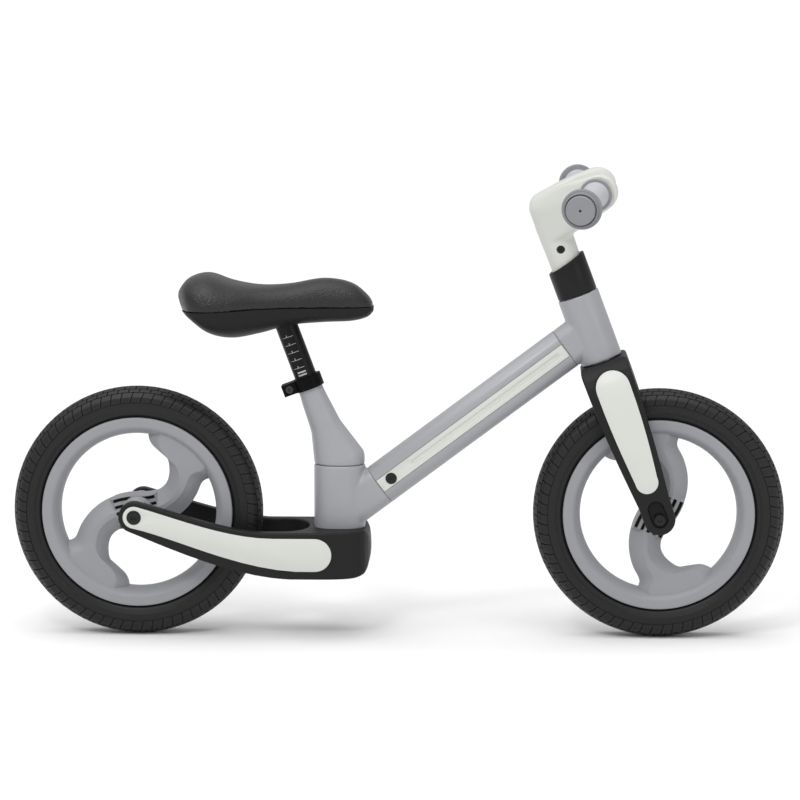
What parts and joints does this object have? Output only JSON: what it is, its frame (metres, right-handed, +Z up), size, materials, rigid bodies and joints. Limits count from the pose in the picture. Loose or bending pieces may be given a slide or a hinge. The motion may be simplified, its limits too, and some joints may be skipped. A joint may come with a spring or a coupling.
{
  "type": "balance bike",
  "caption": "Child's two-wheeled balance bike with a sloping tube frame, one-piece rear fork, S-spoke wheels, sliding saddle post and turning handlebar.",
  "frame": {"origin": "on the ground under the middle of the wheelbase, the bottom centre of the object's box", "axes": "+X forward along the bike, +Y to the rider's left, +Z up"},
  "size_m": [0.887, 0.3762, 0.5377],
  "materials": {
    "frame_grey": "satin grey paint on cast and extruded alloy",
    "rim_grey": "satin grey paint on a cast rim",
    "pale_panel": "smooth warm-white moulded panel",
    "bar_white": "satin warm-white paint",
    "fork_black": "satin black paint on cast alloy",
    "collar_black": "satin black",
    "post_black": "satin black anodised",
    "black_plastic": "fine moulded grain",
    "saddle_skin": "pebbled synthetic leather",
    "grip_grey": "soft matt rubber",
    "tyre_black": "matt black rubber",
    "bolt_black": "black oxide",
    "steel": "ground steel",
    "hub_silver": "satin silver"
  },
  "bodies": {
    "frame": {"rear_fork": "fork_black", "rear_casting": "frame_grey", "seat_tube": "frame_grey", "head_tube": "frame_grey", "down_tube": "frame_grey", "down_tube_inlay_right": "pale_panel", "down_tube_inlay_left": "pale_panel", "down_tube_bolts": "bolt_black", "rear_fork_inlay_right": "pale_panel", "rear_fork_inlay_left": "pale_panel", "yoke_bolts": "bolt_black", "rear_axle": "steel", "rear_axle_bolts": "bolt_black", "seat_clamp": "post_black", "seat_clamp_bolt": "bolt_black", "upper_headset_bearing": "steel", "lower_headset_bearing": "steel"},
    "saddle": {"seatpost": "post_black", "seatpost_plug": "black_plastic", "saddle_base": "black_plastic", "saddle_cushion": "saddle_skin", "saddle_bolts": "bolt_black"},
    "steering": {"fork": "fork_black", "fork_inlay_right": "pale_panel", "fork_inlay_left": "pale_panel", "steerer_tube": "steel", "crown_race": "steel", "headset_collar": "collar_black", "handlebar": "bar_white", "bar_tubes": "steel", "stem_bolts": "bolt_black", "grip_right": "grip_grey", "grip_left": "grip_grey", "grip_cap_right": "grip_grey", "grip_cap_left": "grip_grey", "dropout_inserts": "black_plastic", "front_axle": "steel", "front_axle_bolts": "bolt_black"},
    "rear_wheel": {"rear_rim": "rim_grey", "rear_tyre": "tyre_black", "rear_hub_caps": "hub_silver", "rear_hub_vents": "black_plastic", "rear_bearings": "steel", "rear_spacer": "steel"},
    "front_wheel": {"front_rim": "rim_grey", "front_tyre": "tyre_black", "front_hub_caps": "hub_silver", "front_hub_vents": "black_plastic", "front_bearings": "steel", "front_spacer": "steel"}
  },
  "joints": [
    {"name": "rear_wheel_spin", "type": "hinge", "parent": "frame", "child": "rear_wheel", "pos_m": [-0.2995, 0, 0.144], "axis": [0, 1, 0], "continuous": true},
    {"name": "steering_turn", "type": "hinge", "parent": "frame", "child": "steering", "pos_m": [0.2995, 0, 0.144], "axis": [-0.3502, 0, 0.9367], "range_deg": [-45, 45]},
    {"name": "front_wheel_spin", "type": "hinge", "parent": "steering", "child": "front_wheel", "pos_m": [0.2995, 0, 0.144], "axis": [0, 1, 0], "continuous": true},
    {"name": "saddle_height", "type": "slide", "parent": "frame", "child": "saddle", "axis": [-0.3502, 0, 0.9367], "range_m": [-0.035, 0.025]}
  ]
}
